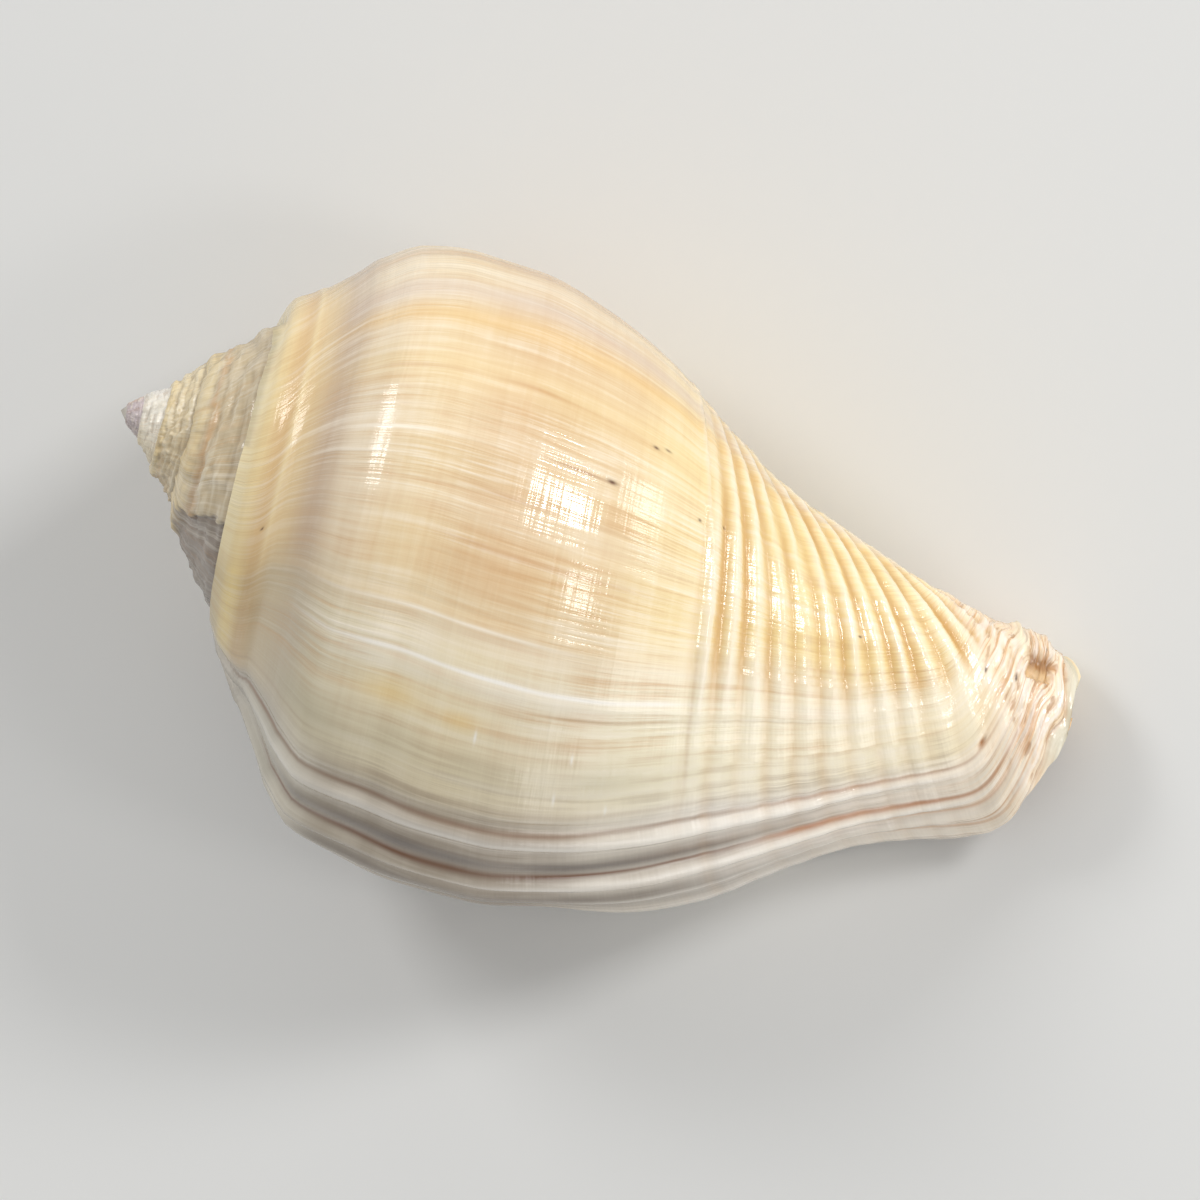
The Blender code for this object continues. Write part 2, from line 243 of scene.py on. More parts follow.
class Surface:
    """Grids of points with a growth line, mark, turn angle and inside value each, and their quads."""

    def __init__(self):
        self.points, self.values, self.faces, self.count = [], [], [], 0

    def add_points(self, points, growth, mark, turn, inside):
        shape = points.shape[:-1]
        self.points.append(points.reshape(-1, 3))
        columns = [np.broadcast_to(value, shape).ravel() for value in (growth, mark, turn, inside)]
        self.values.append(np.stack(columns, axis=-1))
        indices = self.count + np.arange(int(np.prod(shape))).reshape(shape)
        self.count += indices.size
        return indices

    def points_at(self, indices):
        return np.concatenate(self.points)[indices]

    def add_quads(self, indices):
        a, b, c, d = indices[:-1, :-1], indices[:-1, 1:], indices[1:, 1:], indices[1:, :-1]
        self.faces.append(np.stack([a, b, c, d], axis=-1).reshape(-1, 4))

    def mesh(self, place):
        """The grids as one mesh in world metres, not yet welded or closed.  The values are kept on the face
        corners.
        """
        points = np.concatenate(self.points)
        values = np.concatenate(self.values)
        faces = np.concatenate(self.faces)
        turn = np.array(place.to_3x3())
        points = points @ turn.T * MM + np.array(place.translation)
        data = bpy.data.meshes.new("shell surface")
        data.from_pydata(points.tolist(), [], faces.tolist())
        corners = faces.ravel()
        for n, name in enumerate(("growth", "mark", "turn", "inside")):
            layer = data.attributes.new(name, "FLOAT", "CORNER")
            layer.data.foreach_set("value", values[corners, n].astype(np.float32))
        return data


def add_spire(surface, across, suture_angles):
    """Flanks, turn by turn back from the last whorl, and the point of the apex, whose index it gives."""
    turns = math.ceil((LIP_ANGLE - APEX_ANGLE) / 360.0)
    backs = np.concatenate([suture_angles[:-1] - 360.0 * turn for turn in range(1, turns)])
    share, turn = np.meshgrid(across, backs[backs > APEX_ANGLE])
    axial, radius = flank_point(share, turn)
    marks = flank_marks(share)
    growth = keyed(GROWTH_EDGE, marks) - turn
    surface.add_quads(surface.add_points(shell_points(axial, radius, turn), growth, marks, turn, 0.0))
    tip = shell_points(np.full(1, APEX_TIP), np.zeros(1), np.zeros(1))
    return int(surface.add_points(tip, growth[-1, 0], SUTURE_MARK, APEX_ANGLE, 0.0)[0])


def add_last_whorl(surface, across, marks, delays):
    """Rows along the growth lines.  Gives the indices of the lip's edge."""
    share, delay = np.meshgrid(across[:-1], delays)
    turn = np.maximum(flank_lip_angle(share) - delay, START_ANGLE)
    axial, radius = flank_point(share, turn)
    mark = flank_marks(share)
    flank = surface.add_points(shell_points(axial, radius, turn),
                               keyed(GROWTH_EDGE, mark) - turn, mark, turn, 0.0)
    mark, delay = np.meshgrid(marks, delays)
    turn = np.maximum(lip_angle(mark) - delay, START_ANGLE)
    axial = drifted(mark, turn)
    body = surface.add_points(shell_points(axial, body_radius(axial, turn), turn),
                              keyed(GROWTH_EDGE, mark) - turn, mark, turn, 0.0)
    whorl = np.concatenate([flank, body], axis=1)
    surface.add_quads(whorl)
    return whorl[0]


def chamber_wall(across, marks, delay):
    """Axial place, outer radius, turn angle and mark along the chamber's wall, this long before the lip."""
    wall_across = CHAMBER_TOP + (1.0 - CHAMBER_TOP) * across[:-1]
    flank_angle = flank_lip_angle(wall_across) - delay
    flank_axial, flank_radius = flank_point(wall_across, flank_angle)
    squeezed = np.where(marks < CANAL_SQUEEZE, marks, CANAL_SQUEEZE + (marks - CANAL_SQUEEZE)
                        * (CANAL_MARK - CANAL_SQUEEZE) / (LAST_MARK - CANAL_SQUEEZE))
    reach = (squeezed - FLANK_MARK) / (CANAL_MARK - FLANK_MARK)
    line = FLANK_MARK + (CANAL_MARK - CANAL_RETREAT * delay - FLANK_MARK) * reach
    angle = lip_angle(line) - delay
    axial = drifted(line, angle)
    return (np.append(flank_axial, axial), np.append(flank_radius, body_radius(axial, angle)),
            np.append(flank_angle, angle), np.append(flank_marks(wall_across), line))


def chamber_outside(axial, radius, angle):
    """Radius of the chamber's outer side, kept clear of what it winds round."""
    return np.maximum(radius - WALL, core_radius(axial, angle) + CHAMBER_GAP)


def lip_rows(surface, edge, wall):
    """Rows from the lip's edge to the chamber's wall, bulged forward a little."""
    axial, radius, angle, mark = wall
    start = surface.points_at(edge)
    end = shell_points(axial, chamber_outside(axial, radius, angle), angle)
    turn = np.radians(angle)
    forward = np.stack([np.zeros_like(turn), -np.sin(turn), np.cos(turn)], axis=-1)
    rows = [edge]
    for n in range(1, LIP_STEPS):
        part = n / LIP_STEPS
        points = start + (end - start) * part + forward * LIP_BULGE * math.sin(math.pi * part)
        rows.append(surface.add_points(points, -part, mark, angle, part))
    return rows


def columella_rows(surface, marks, bare_suture, wall):
    """Rows from the start of the last whorl, round the columella, to the chamber's wall."""
    wall_axial, _, wall_angle, wall_mark = wall
    suture_axial, suture_radius = flank_point(np.ones(FLANK_LINES), bare_suture[:-1] - 360.0)
    start_angle = np.full_like(marks, START_ANGLE)
    body_axial = drifted(marks, start_angle)
    start_axial = np.append(suture_axial, body_axial)
    start_turn = np.append(bare_suture[:-1], start_angle + 360.0)
    start_radius = np.append(suture_radius, body_radius(body_axial, start_angle))
    start_marks = np.append(np.full(FLANK_LINES, FLANK_MARK), marks)
    rows = [surface.add_points(shell_points(start_axial, start_radius, start_turn), 360.0, start_marks,
                               start_turn - 360.0, 0.0)]
    for n in range(1, CORE_STEPS):
        part = n / CORE_STEPS
        axial = start_axial + (wall_axial - start_axial) * part
        angle = start_turn + (wall_angle - start_turn) * part
        radius = core_radius(axial, np.minimum(angle, LIP_ANGLE - KEPT_BEFORE_LIP), part)
        rows.append(surface.add_points(shell_points(axial, radius, angle), 360.0 + GLAZE_GROWTH * part,
                                       wall_mark, angle - 360.0, min(1.0, GLAZE_RISE * part)))
    return rows


def add_chamber(surface, across, marks, edge, bare_suture):
    """Lip and chamber wall, and the columella side, as two chains of rows that share their ends."""
    wall = chamber_wall(across, marks, 0.0)
    outer = lip_rows(surface, edge, wall)
    inner = columella_rows(surface, marks, bare_suture, wall)
    for delay in np.linspace(0.0, CHAMBER_TURN, CHAMBER_ROWS):
        axial, radius, angle, mark = chamber_wall(across, marks, delay)
        sides = chamber_outside(axial, radius, angle), core_radius(axial, angle)
        for rows, side in zip((outer, inner), sides):
            rows.append(surface.add_points(shell_points(axial, side, angle), delay, mark, angle, 1.0))
    surface.add_quads(np.array(outer))
    surface.add_quads(np.array(inner))
    surface.add_quads(np.array([outer[-1], inner[-1]]))
    for end in (0, -1):
        surface.add_quads(np.array([[row[end] for row in outer[-CHAMBER_ROWS:]],
                                    [row[end] for row in inner[-CHAMBER_ROWS:]]]))


def close_surface(data, tip, apex):
    """Welds the mesh, closes the apex and the last small gaps, and points its faces outwards."""
    mesh = bmesh.new()
    mesh.from_mesh(data)
    mesh.verts.ensure_lookup_table()
    tip_vert = mesh.verts[tip]
    bmesh.ops.remove_doubles(mesh, verts=mesh.verts, dist=WELD * MM)
    bmesh.ops.dissolve_degenerate(mesh, edges=mesh.edges, dist=WELD * MM)
    near_tip = [edge for edge in mesh.edges
                if edge.is_boundary and (edge.verts[0].co - apex).length < TIP_REACH * MM]
    for edge in near_tip:
        mesh.faces.new((edge.verts[0], edge.verts[1], tip_vert))
    gaps = [edge for edge in mesh.edges if edge.is_boundary]
    filled = bmesh.ops.holes_fill(mesh, edges=gaps, sides=0)["faces"]
    bmesh.ops.triangulate(mesh, faces=filled)
    bmesh.ops.recalc_face_normals(mesh, faces=mesh.faces)
    for edge in mesh.edges:
        edge.smooth = edge.calc_face_angle(0.0) < math.radians(SHARP_ANGLE)
    mesh.to_mesh(data)
    mesh.free()
    data.polygons.foreach_set("use_smooth", [True] * len(data.polygons))


def shell_surface(place):
    surface = Surface()
    across = np.linspace(0.0, 1.0, FLANK_LINES + 1)
    marks, delays = body_marks(), row_delays()
    bare_suture = np.linspace(LIP_AT_SUTURE, LIP_ANGLE, FLANK_LINES + 1)
    tip = add_spire(surface, across, np.concatenate([bare_suture[:0:-1], LIP_AT_SUTURE - delays]))
    edge = add_last_whorl(surface, across, marks, np.append(delays, 360.0))
    add_chamber(surface, across, marks, edge, bare_suture)
    data = surface.mesh(place)
    close_surface(data, tip, place.translation)
    return data


class Term:
    """A value in a node tree.  Arithmetic on it adds Math nodes."""

    def __init__(self, tree, socket):
        self.tree, self.socket = tree, socket

    def math(self, operation, *others, swap=False):
        operands = [self, *others]
        if swap:
            operands.reverse()
        return self.tree.node("ShaderNodeMath", {"operation": operation}, dict(enumerate(operands)))

    def __add__(self, other):
        return self.math("ADD", other)

    def __radd__(self, other):
        return self.math("ADD", other)

    def __sub__(self, other):
        return self.math("SUBTRACT", other)

    def __rsub__(self, other):
        return self.math("SUBTRACT", other, swap=True)

    def __mul__(self, other):
        return self.math("MULTIPLY", other)

    def __rmul__(self, other):
        return self.math("MULTIPLY", other)

    def __truediv__(self, other):
        return self.math("DIVIDE", other)

    def __rtruediv__(self, other):
        return self.math("DIVIDE", other, swap=True)

    def __pow__(self, other):
        return self.math("POWER", other)

    def __neg__(self):
        return self.math("MULTIPLY", -1.0)


class Tree:
    """Builds one node tree."""

    def __init__(self, tree):
        self.tree = tree

    def node(self, kind, settings=None, inputs=None, output=0):
        """Adds a node: its settings first, then the values or links of its sockets."""
        node = self.tree.nodes.new(kind)
        for name, value in (settings or {}).items():
            if name == "stops":
                set_stops(node.color_ramp, value)
            elif name == "curve":
                set_curve(node.mapping, value)
            else:
                setattr(node, name, value)
        for name, value in (inputs or {}).items():
            socket = node.inputs[name]
            if isinstance(value, Term):
                self.tree.links.new(value.socket, socket)
            else:
                socket.default_value = value
        return Term(self, node.outputs[output])

    def between(self, value, low, high, start=0.0, end=1.0):
        """Smooth step of value from start to end as it goes from low to high."""
        return self.node("ShaderNodeMapRange", {"interpolation_type": "SMOOTHSTEP"},
                         {0: value, 1: low, 2: high, 3: start, 4: end})

    def hump(self, value, middle, width, strength=1.0):
        """strength where value is middle, falling to 0 over about twice the width."""
        away = value.math("MULTIPLY_ADD", 1.0 / width, -middle / width)
        return (away * away).math("MULTIPLY_ADD", -1.0, math.log(strength)).math("EXPONENT")

    def vector(self, x, y, z):
        return self.node("ShaderNodeCombineXYZ", None, {0: x, 1: y, 2: z})

    def noise(self, vector, detail, roughness):
        """Noise between about 0.2 and 0.8 around 0.5."""
        return self.node("ShaderNodeTexNoise", {"noise_dimensions": "3D"},
                         {"Vector": vector, "Scale": 1.0, "Detail": detail, "Roughness": roughness})

    def mix(self, factor, a, b):
        """Colour a where factor is 0 or less, b where it is 1 or more."""
        return self.node("ShaderNodeMix", {"data_type": "RGBA", "clamp_factor": True},
                         {0: factor, 6: a, 7: b}, output=2)

    def ramp(self, value, stops):
        return self.node("ShaderNodeValToRGB", {"stops": stops}, {0: value})


def set_stops(ramp, stops):
    ramp.interpolation = "EASE"
    while len(ramp.elements) < len(stops):
        ramp.elements.new(0.5)
    for element, (place, tint) in zip(ramp.elements, stops):
        element.position = place
        element.color = tint


def set_curve(mapping, keys):
    curve = mapping.curves[0]
    while len(curve.points) < len(keys):
        curve.points.new(0.5, 0.5)
    for point, key in zip(curve.points, keys):
        point.location = key
    mapping.update()


def colour(red, green, blue):
    """Linear colour from 0 to 255 display values."""
    def linear(value):
        value /= 255.0
        return value / 12.92 if value <= 0.04045 else ((value + 0.055) / 1.055) ** 2.4
    return (linear(red), linear(green), linear(blue), 1.0)


# Cords of the base and sunken patch of the spire, as the relief and the colours both follow them: marks,
# turns in degrees and growth in degrees before the lip
CORDS_START, CORDS_END = 54.0, 82.5
FIRST_CORD, CORD_PITCH, CORD_CLIMB = 55.1, 2.24, 9.5
WIDE_CORDS, WIDENING = 74.0, 0.25
LEDGE_GROWTH, LEDGE_MARK = 449.0, 12.9
# Break in the canal's rim and the fold beside it: turn angles and axial places that they lie between
NOTCH_TURNS, NOTCH_AXIAL = (54.0, 77.0), (74.9, 77.1)
FOLD_TURNS, FOLD_AXIAL, FOLD_SLANT = (10.0, 66.0), 72.8, 0.03

# Growth ridges along the lip: degrees before the lip, height in millimetres
RIDGE_HEIGHTS = [
    (0.0, 0.0), (4.0, 0.15), (9.0, 0.05), (13.0, 0.28), (18.0, 0.0), (22.0, -0.32), (26.0, 0.12),
    (29.0, 0.30), (33.5, -0.20), (37.5, 0.50), (42.0, -0.32), (45.0, -0.25), (48.0, -0.48), (53.0, 0.28),
    (56.5, -0.28), (60.0, 0.02), (68.0, 0.08), (80.0, 0.0), (85.0, 0.02), (86.5, 0.08), (88.0, 0.0),
    (95.5, 0.02), (97.5, 0.10), (99.5, 0.0), (100.0, 0.0),
]
RIDGE_REACH = 100.0
RIDGE_SPAN = 1.5

# Inputs of the growth relief: millimetres, but for the ridges, which have theirs above, and the seed
SEED = 3.0
RELIEF_INPUTS = [
    ("Cord height", 0.36), ("Ridge height", 1.0), ("Growth line height", 0.20), ("Wrinkle height", 1.8),
    ("Scale height", 0.35), ("Seed", SEED),
]

SPOT_SHARE = 0.8


def spots():
    """Growth, mark, half width in degrees and in marks, depth in millimetres, strength and colour of each."""
    dark, ochre = colour(92, 60, 42), colour(190, 128, 70)
    yellow, white = colour(238, 204, 128), colour(250, 247, 240)
    return [
        (57.0, 84.5, 1.4, 0.3, 0.4, 0.9, dark), (80.0, 81.5, 1.5, 0.3, 0.35, 0.9, dark),
        (57.5, 78.9, 1.7, 0.5, 0.4, 0.9, ochre), (111.4, 15.1, 0.5, 0.16, 0.05, 0.9, dark),
        (145.7, 48.1, 0.5, 0.35, 0.05, 0.9, dark), (146.8, 49.3, 0.4, 0.4, 0.04, 0.7, dark),
        (132.7, 44.5, 0.6, 0.6, 0.08, 0.95, dark), (132.4, 41.6, 0.35, 3.2, 0.03, 0.6, colour(150, 92, 56)),
        (134.0, 53.2, 0.5, 0.22, 0.03, 0.8, dark), (135.9, 55.7, 0.5, 0.22, 0.03, 0.8, dark),
        (116.3, 69.1, 0.6, 0.3, 0.06, 0.9, dark), (80.0, 29.2, 3.5, 3.6, 0.0, 0.5, yellow),
        (79.0, 35.5, 2.5, 2.2, 0.0, 0.4, yellow), (118.0, 61.5, 4.0, 3.0, 0.0, 0.25, yellow),
        (76.8, 37.1, 1.6, 0.16, 0.0, 0.7, white), (75.6, 45.4, 1.3, 0.14, 0.0, 0.6, white),
        (66.1, 44.4, 1.8, 0.16, 0.0, 0.5, white), (63.2, 48.6, 1.5, 0.15, 0.0, 0.5, white),
    ]


class Growth:
    """The grown coordinates in a node tree, and what follows from them in relief and colour alike."""

    def __init__(self, tree, stored, seed):
        self.tree, self.seed = tree, seed
        self.growth, self.mark, self.turn, self.inside = (
            stored(name) for name in ("growth", "mark", "turn", "inside"))
        self.last_whorl = tree.between(self.turn, START_ANGLE - 5.0, START_ANGLE + 8.0)
        self.scaly = (tree.between(self.mark, 79.5, 84.0) * tree.between(self.turn, 5.0, 45.0)
                      * tree.between(self.mark, 108.0, 100.0) * tree.between(self.growth, 11.0, 15.0))

    def noise(self, along, across, place, detail=2.0, roughness=0.5):
        """Noise around 0, drawn out over the shell: its rates are per degree of growth and per mark."""
        vector = self.tree.vector(self.growth * along, self.mark * across, self.seed + place)
        return self.tree.noise(vector, detail, roughness) - 0.5

    def cords(self):
        """1 on the crests of the spiral cords of the base, 0 in the grooves between them."""
        tree = self.tree
        climb = tree.between(self.turn, 100.0, -60.0, 0.0, CORD_CLIMB)
        spiral = self.mark + climb * tree.between(self.mark, 44.0, 64.0)
        spiral = spiral - (spiral - WIDE_CORDS).math("MAXIMUM", 0.0) * WIDENING
        wander = self.noise(0.02, 0.05, 1.0, detail=1.0) * 0.9
        phase = (spiral - FIRST_CORD + wander) / CORD_PITCH
        return (phase * (2 * math.pi)).math("COSINE") * 0.5 + 0.5

    def cord_field(self):
        """How strong the cords are: they sink towards the lip, the columella and the canal's end."""
        tree = self.tree
        strength = self.noise(0.012, 0.5, 7.0, detail=0.0) * 2.2 + 1.0
        return (tree.between(self.mark, CORDS_START - 0.8, CORDS_START + 1.0)
                * tree.between(self.mark, CORDS_END + 6.0, CORDS_END)
                * tree.between(self.growth, 82.0, 104.0, 0.35, 1.0)
                * tree.between(self.growth, 48.0, 62.0, 0.4, 1.0)
                * tree.between(self.turn, -90.0, -20.0)
                * strength)

    def first_cord(self):
        """1 on the crest of the thin cord that runs alone before the others."""
        tree = self.tree
        drift = tree.between(self.turn, 100.0, 30.0, 0.0, 2.6)
        return (tree.hump(self.mark + drift, FIRST_CORD, 0.22) * tree.between(self.growth, 70.0, 100.0)
                * tree.between(self.turn, -60.0, 0.0))

    def ledge(self):
        """1 on the worn, sunken patch of the spire in front of the last whorl's start."""
        tree = self.tree
        ragged = self.noise(0.15, 0.6, 17.0)
        return (tree.between(self.growth + ragged * 14.0, LEDGE_GROWTH + 1.0, LEDGE_GROWTH - 1.0)
                * tree.between(self.mark + ragged * 2.0, LEDGE_MARK, LEDGE_MARK + 0.6)
                * (1.0 - self.last_whorl))

    def canal_axial(self):
        """Axial place, with the small raggedness of broken shell."""
        drift = ((self.turn - 180.0) * (math.log(DRIFT) / 180.0)).math("EXPONENT")
        return self.mark * drift + self.noise(0.3, 1.0, 19.0, detail=1.0) * 0.5

    def notch(self):
        """1 in the break of the canal's rim."""
        tree, axial = self.tree, self.canal_axial()
        turn = self.turn + self.noise(0.3, 1.0, 20.0, detail=1.0) * 6.0
        return (tree.between(turn, NOTCH_TURNS[0] - 1.0, NOTCH_TURNS[0] + 1.5)
                * tree.between(turn, NOTCH_TURNS[1] + 1.0, NOTCH_TURNS[1] - 1.5)
                * tree.between(axial, NOTCH_AXIAL[0] - 0.1, NOTCH_AXIAL[0] + 0.15)
                * tree.between(axial, NOTCH_AXIAL[1] + 0.1, NOTCH_AXIAL[1] - 0.15) * self.last_whorl)

    def fold(self):
        """1 on the crest of the pale fold beside the break."""
        tree = self.tree
        slanted = self.canal_axial() - (self.turn - FOLD_TURNS[0]) * FOLD_SLANT
        return (tree.hump(slanted, FOLD_AXIAL, 0.45)
                * tree.between(self.turn, FOLD_TURNS[0], FOLD_TURNS[0] + 10.0)
                * tree.between(self.turn, FOLD_TURNS[1], FOLD_TURNS[1] - 8.0) * self.last_whorl)

    def folds(self):
        """Uneven folds of the spire's flanks along the spiral, from -0.5 to 0.5."""
        return self.noise(0.025, 0.8, 33.0, roughness=0.6)

    def flakes(self):
        """Broad worn scales round the end of the canal."""
        return self.noise(0.16, 0.5, 5.0)

    def layers(self):
        """Thin layers of shell that show between the scales."""
        return self.noise(0.35, 0.08, 6.0)

    def spot(self, growth, mark, wide, high, strength):
        """strength at one place of the last whorl, falling to 0 all round it."""
        along = self.growth.math("MULTIPLY_ADD", 1.0 / wide, -growth / wide)
        across = self.mark.math("MULTIPLY_ADD", 1.0 / high, -mark / high)
        away = across.math("MULTIPLY_ADD", across, along * along)
        return away.math("MULTIPLY_ADD", -1.0, math.log(strength)).math("EXPONENT")

    def wobbly_mark(self):
        """Mark with the small wobble of the spire's sutures and cords."""
        return self.mark + self.noise(0.09, 0.15, 27.0) * 2.6 * (1.0 - self.last_whorl)


def spiral_relief(grown, cord_height):
    """Cords round the base, and the fine one alone before them."""
    cords = ((grown.cords() ** 0.75) - 0.35) * grown.cord_field() * cord_height
    return cords + grown.first_cord() * cord_height * 0.7


def spire_rings(grown):
    """Two fine cords on the spire's flanks."""
    tree, wobbly = grown.tree, grown.wobbly_mark()
    rings = tree.hump(wobbly, 12.9, 0.6, 0.14) + tree.hump(wobbly, 15.7, 0.3, 0.10)
    return rings * tree.between(grown.turn, -1100.0, -760.0, 0.2, 1.0)


def lip_ridges(grown, ridge_height):
    """Heavy ridges along the lip, and two thin ones further back."""
    tree = grown.tree
    place = (grown.growth + grown.noise(0.01, 0.06, 2.0, detail=1.0) * 3.0) / RIDGE_REACH
    keys = [(growth / RIDGE_REACH, 0.5 + height / RIDGE_SPAN) for growth, height in RIDGE_HEIGHTS]
    curve = tree.node("ShaderNodeFloatCurve", {"curve": keys}, {"Value": place})
    near_canal = tree.between(grown.mark, 86.0, 60.0)
    return (curve - 0.5) * RIDGE_SPAN * near_canal * ridge_height * grown.last_whorl


def growth_lines(grown, line_height):
    """Growth lines, long across the spiral and short along it, coarser near the lip."""
    tree, growth, mark = grown.tree, grown.growth, grown.mark
    coarse = grown.noise(0.13, 0.04, 11.0, roughness=0.6)
    narrow = grown.noise(0.42, 0.07, 13.0, roughness=0.6)
    canal = tree.between(mark, 70.0, 86.0) * tree.between(growth, 90.0, 45.0) * 3.0 + 1.0
    worn = tree.between(grown.noise(0.03, 0.05, 31.0), -0.08, 0.14, 0.15, 1.0)
    fine = narrow * worn * tree.between(mark, 54.0, 60.0, 1.0, 2.0)
    smooth_ramp = tree.between(mark, 15.0, 24.0, 0.35, 1.0)
    return (coarse * 1.5 * canal + fine * 0.5) * line_height * smooth_ramp * grown.last_whorl


def spire_wrinkles(grown, wrinkle_height):
    """Wrinkles of the spire and of the start of the last whorl's ramp, and the sunken patch."""
    tree, turn = grown.tree, grown.turn
    wrinkled = tree.between(turn, -850.0, -500.0, 0.25, 1.0) * tree.between(turn, -60.0, START_ANGLE)
    crumpled = (grown.noise(0.08, 0.35, 21.0, detail=3.0, roughness=0.6) + grown.folds()) * 0.6
    return crumpled * wrinkled * wrinkle_height - grown.ledge() * 0.45


def canal_scales(grown, scale_height):
    """Worn scales round the end of the canal."""
    flakes = grown.flakes()
    steps = ((grown.growth * 0.11 + flakes).math("FRACT") - 0.5) * 0.6
    return (flakes * 1.6 + grown.layers() * 0.8 + steps) * grown.scaly * scale_height


def canal_rim(grown):
    """Groove along the canal's edge, and the fold and the break beside it."""
    tree = grown.tree
    groove = tree.hump(grown.growth, 14.0, 1.8, 0.35) * tree.between(grown.mark, 78.0, 85.0)
    return grown.fold() * 0.4 - grown.notch() * 1.1 - groove


def growth_relief():
    """Node tree that raises the cords, growth ridges, growth lines and scales on the grown surface."""
    group = bpy.data.node_groups.new("growth relief", "GeometryNodeTree")
    kinds = [("Geometry", "Geometry"), ("Material", "Material")]
    kinds += [(name, "Float") for name, _ in RELIEF_INPUTS]
    names = {}
    for name, kind in kinds:
        socket = group.interface.new_socket(name=name, in_out="INPUT", socket_type="NodeSocket" + kind)
        names[name] = socket.identifier
    group.interface.new_socket(name="Geometry", in_out="OUTPUT", socket_type="NodeSocketGeometry")
    tree = Tree(group)
    given = group.nodes.new("NodeGroupInput")

    def sent(name):
        return Term(tree, given.outputs[name])

    def stored(name):
        return tree.node("GeometryNodeInputNamedAttribute", {"data_type": "FLOAT"}, {"Name": name})

    grown = Growth(tree, stored, sent("Seed"))
    off_suture = tree.between(grown.mark, SUTURE_MARK, SUTURE_MARK + 1.2)
    off_next = 1.0 - tree.between(grown.mark, FLANK_MARK - 1.0, FLANK_MARK) * (1.0 - grown.last_whorl)
    grain = (spiral_relief(grown, sent("Cord height")) + growth_lines(grown, sent("Growth line height"))
             + canal_scales(grown, sent("Scale height")) + spire_wrinkles(grown, sent("Wrinkle height")))
    height = (grain * off_suture * off_next + spire_rings(grown) * off_next
              + lip_ridges(grown, sent("Ridge height")) * off_suture + canal_rim(grown))
    for growth, mark, wide, high, depth, _, _ in spots():
        if depth > 0.0:
            height = height - grown.spot(growth, mark, wide, high, depth)
    outside = 1.0 - tree.between(grown.inside, 0.0, 0.3)
    normal = tree.node("GeometryNodeInputNormal")
    offset = tree.node("ShaderNodeVectorMath", {"operation": "SCALE"},
                       {0: normal, "Scale": height * outside * MM})
    raised = tree.node("GeometryNodeSetPosition", None, {"Geometry": sent("Geometry"), "Offset": offset})

    # Nothing reaches below the surface that the shell lies on
    position = tree.node("GeometryNodeInputPosition")
    x, y, z = (tree.node("ShaderNodeSeparateXYZ", None, {0: position}, output=n) for n in range(3))
    level = tree.vector(x, y, z.math("MAXIMUM", 0.0))
    rested = tree.node("GeometryNodeSetPosition", None, {"Geometry": raised, "Position": level})
    real = tree.node("GeometryNodeRealizeInstances", None, {"Geometry": rested})
    painted = tree.node("GeometryNodeSetMaterial", None, {"Geometry": real, "Material": sent("Material")})
    result = group.nodes.new("NodeGroupOutput")
    group.links.new(painted.socket, result.inputs["Geometry"])
    return group, names


# Colours along the mark: of the back of the last whorl, of its lower side, and near the lip
BACK_COLOURS = [
    (12.4, colour(244, 228, 184)), (13.4, colour(242, 218, 164)), (14.8, colour(224, 190, 138)),
    (16.5, colour(230, 203, 156)), (18.8, colour(203, 178, 150)), (21.5, colour(234, 214, 182)),
    (27.0, colour(230, 206, 164)), (36.0, colour(224, 195, 154)), (44.0, colour(228, 202, 160)),
    (52.0, colour(240, 217, 165)), (60.0, colour(243, 218, 156)), (72.0, colour(246, 222, 160)),
    (78.0, colour(250, 230, 176)),
    (84.0, colour(248, 224, 186)), (94.0, colour(244, 218, 184)),
]
SIDE_COLOURS = [
    (12.4, colour(206, 186, 142)), (13.6, colour(240, 214, 146)), (15.0, colour(207, 176, 126)),
    (17.0, colour(210, 192, 158)), (19.5, colour(204, 190, 164)), (22.5, colour(226, 214, 184)),
    (34.0, colour(236, 221, 186)), (44.0, colour(236, 222, 192)), (53.0, colour(246, 236, 206)),
    (66.0, colour(248, 236, 206)), (77.0, colour(248, 234, 200)), (84.0, colour(248, 226, 192)),
    (92.0, colour(250, 222, 188)),
]
LIP_COLOURS = [
    (14.0, colour(200, 192, 178)), (19.5, colour(202, 196, 180)), (22.0, colour(226, 218, 200)),
    # The darker greys from mark 26 to 42 are partly the lip's own grey and partly painted shade on its lower
    # side
    (26.0, colour(196, 184, 164)), (33.0, colour(186, 172, 152)), (42.0, colour(190, 176, 158)),
    (50.0, colour(232, 222, 206)), (58.0, colour(250, 242, 230)), (72.0, colour(252, 240, 222)),
    (82.0, colour(255, 236, 208)), (91.0, colour(255, 232, 196)), (100.0, colour(246, 230, 202)),
]
# Colours of the spire, from the apex to the last whorl
SPIRE_COLOURS = [
    (0.0, colour(216, 190, 176)), (0.05, colour(216, 194, 182)), (0.09, colour(206, 192, 196)),
    (0.22, colour(214, 204, 204)), (0.30, colour(244, 240, 234)), (0.38, colour(246, 240, 226)),
    (0.44, colour(244, 230, 198)), (0.58, colour(238, 220, 180)), (0.72, colour(212, 193, 157)),
    (1.0, colour(204, 186, 153)),
]
PALE = colour(252, 242, 224)
TAN = colour(206, 160, 108)
LIP_SHADE = colour(160, 142, 120)
# Painted shade: a dark grey-brown laid along the hollow behind the lip's ridges and along the lip's lower
# side, where little lamp light falls
PAINTED_SHADE = colour(104, 90, 77)
YELLOW_CORD, OCHRE_LINE, SUTURE_SHADE = colour(242, 220, 168), colour(206, 156, 100), colour(118, 102, 84)
FOLD_SHADE, FOLD_LIGHT, LEDGE_GREY = colour(150, 126, 92), colour(240, 230, 204), colour(132, 121, 114)
CHAMBER_ORANGE = colour(232, 190, 140)

